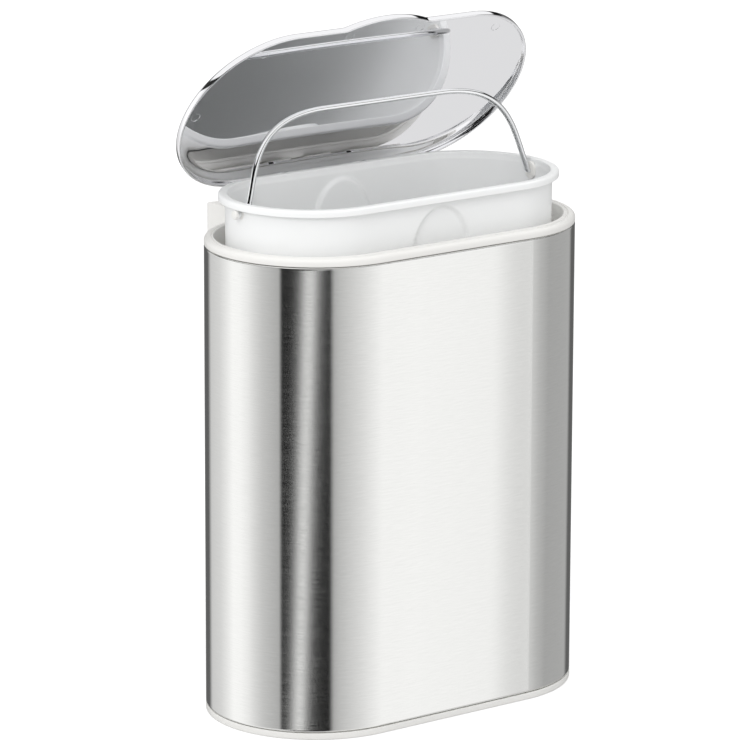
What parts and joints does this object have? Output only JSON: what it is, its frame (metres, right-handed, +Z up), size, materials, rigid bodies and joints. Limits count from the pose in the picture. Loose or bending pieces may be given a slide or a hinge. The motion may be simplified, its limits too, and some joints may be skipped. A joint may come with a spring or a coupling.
{
  "type": "sanitary bin",
  "caption": "Free-standing oval steel bin with a lift-out plastic bucket on a wire bail and a hinged mirror-bright lid with a finger tab.",
  "frame": {"origin": "middle of the flat underside of the base, on the floor", "axes": "+Z up, X along the long side with +X to the right seen from the front, -Y towards the finger tab, +Y towards the hinge"},
  "size_m": [0.2476, 0.153, 0.414],
  "materials": {
    "brushed_sleeve": "stainless sheet, brushed round the body",
    "white_moulding": "white moulded plastic, satin",
    "bucket_moulding": "white moulded polypropylene, satin",
    "plated_lid": "moulded plastic with bright chrome plating",
    "chromed_wire": "bright chromed steel wire",
    "zinc_steel": "zinc-plated",
    "grey_moulding": "grey moulded plastic",
    "rubber_pads": "matt"
  },
  "bodies": {
    "bin_body": {"base_pan": "white_moulding", "rubber_pad_1": "rubber_pads", "rubber_pad_2": "rubber_pads", "rubber_pad_3": "rubber_pads", "rubber_pad_4": "rubber_pads", "steel_sleeve": "brushed_sleeve", "rim_ring": "white_moulding", "hinge_housing": "white_moulding", "pin_plug": "white_moulding", "lid_damper": "grey_moulding", "backing_plate": "zinc_steel", "housing_screw_1": "zinc_steel", "housing_screw_2": "zinc_steel", "housing_screw_3": "zinc_steel", "housing_screw_4": "zinc_steel"},
    "lid": {"lid_shell": "plated_lid", "hinge_pin": "zinc_steel"},
    "bucket": {"bucket_shell": "bucket_moulding", "bail_bush_left": "white_moulding", "bail_bush_right": "white_moulding"},
    "bail": {"bail_wire": "chromed_wire", "bail_cap_left": "white_moulding", "bail_cap_right": "white_moulding"}
  },
  "joints": [
    {"name": "lid_hinge", "type": "hinge", "parent": "bin_body", "child": "lid", "pos_m": [0, 0.0814, 0.2913], "axis": [-1, 0, 0], "range_deg": [-56.5, 33.5]},
    {"name": "bucket_lift", "type": "slide", "parent": "bin_body", "child": "bucket", "axis": [0, 0, 1], "range_m": [-0.033, 0.02]},
    {"name": "bail_swing", "type": "hinge", "parent": "bucket", "child": "bail", "pos_m": [0, 0.0012, 0.30825], "axis": [-1, 0, 0], "range_deg": [-81.4, 48.4]}
  ],
  "couplings": [
    {"joint": "bucket_lift", "follows": "lid_hinge", "m_per_rad": 0.03346},
    {"joint": "bail_swing", "follows": "lid_hinge", "ratio": 1.44}
  ]
}
